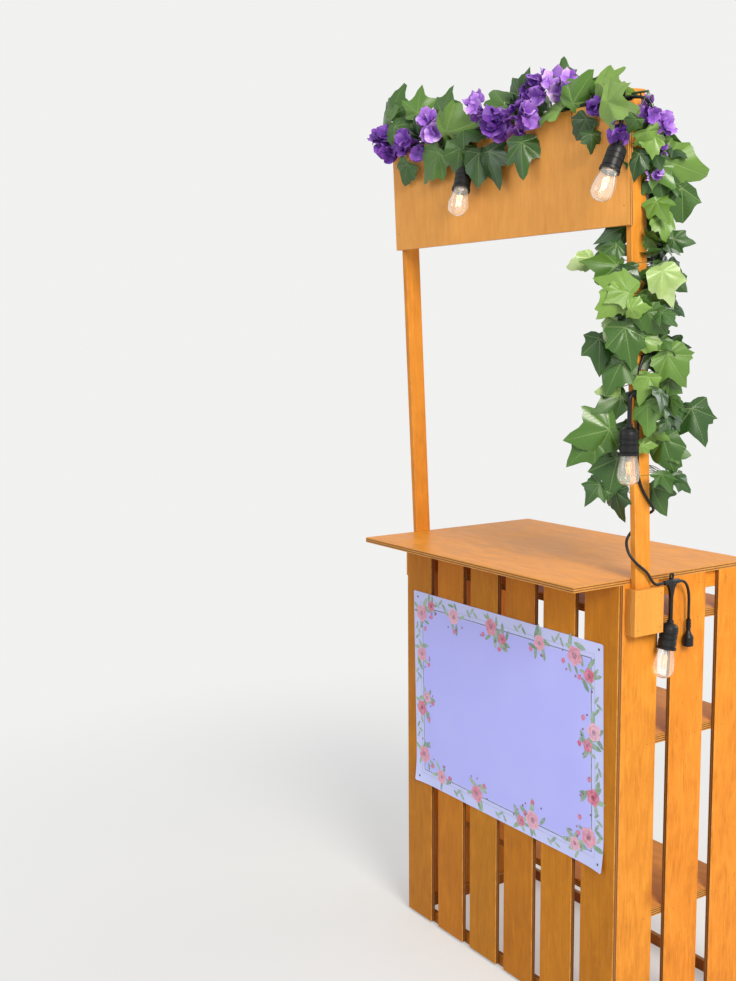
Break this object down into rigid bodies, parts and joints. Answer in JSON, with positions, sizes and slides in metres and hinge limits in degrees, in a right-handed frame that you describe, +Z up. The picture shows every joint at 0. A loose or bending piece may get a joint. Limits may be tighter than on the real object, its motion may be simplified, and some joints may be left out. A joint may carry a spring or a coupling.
{
  "type": "street kiosk",
  "caption": "Free-standing slatted plywood kiosk: open-backed cabinet with shelves and counter, two posts in pockets, header board, printed sheet, artificial garland and lamp string.",
  "frame": {"origin": "on the floor under the middle of the counter", "axes": "+Z up, the customers' front towards -Y, +X to the right seen from the front"},
  "size_m": [0.94, 0.525, 2.0767],
  "materials": {
    "plywood_front": "varnished plywood",
    "plywood_light": "varnished plywood",
    "printed_sheet": "satin print",
    "foliage": "artificial leaves and silk flowers",
    "cable_black": "matte",
    "socket_black": "satin",
    "bulb_glass": "clear"
  },
  "bodies": {
    "root": {"front_slat_1": "plywood_front", "front_slat_2": "plywood_front", "front_slat_3": "plywood_front", "front_slat_4": "plywood_front", "front_slat_5": "plywood_front", "front_slat_6": "plywood_front", "left_slat_1": "plywood_light", "left_slat_2": "plywood_light", "left_slat_3": "plywood_light", "right_slat_1": "plywood_light", "right_slat_2": "plywood_light", "right_slat_3": "plywood_light", "counter_top": "plywood_light", "front_top_rail": "plywood_front", "left_top_rail": "plywood_light", "right_top_rail": "plywood_light", "front_bottom_rail": "plywood_front", "left_bottom_rail": "plywood_light", "right_bottom_rail": "plywood_light", "back_bottom_rail": "plywood_front", "upper_shelf": "plywood_light", "middle_shelf": "plywood_light", "lower_shelf": "plywood_light", "left_pocket_front_block": "plywood_light", "left_pocket_rear_block": "plywood_light", "left_pocket_foot_block": "plywood_light", "left_pocket_cover": "plywood_light", "right_pocket_front_block": "plywood_light", "right_pocket_rear_block": "plywood_light", "right_pocket_foot_block": "plywood_light", "right_pocket_cover": "plywood_light", "left_post": "plywood_light", "right_post": "plywood_light", "header_board": "plywood_light", "sign_sheet": "printed_sheet", "header_garland": "foliage", "post_garland": "foliage", "light_cable": "cable_black", "cable_joints": "cable_black", "lamp_sockets": "socket_black", "lamp_bulbs": "bulb_glass", "cable_connectors": "socket_black"}
  },
  "joints": []
}
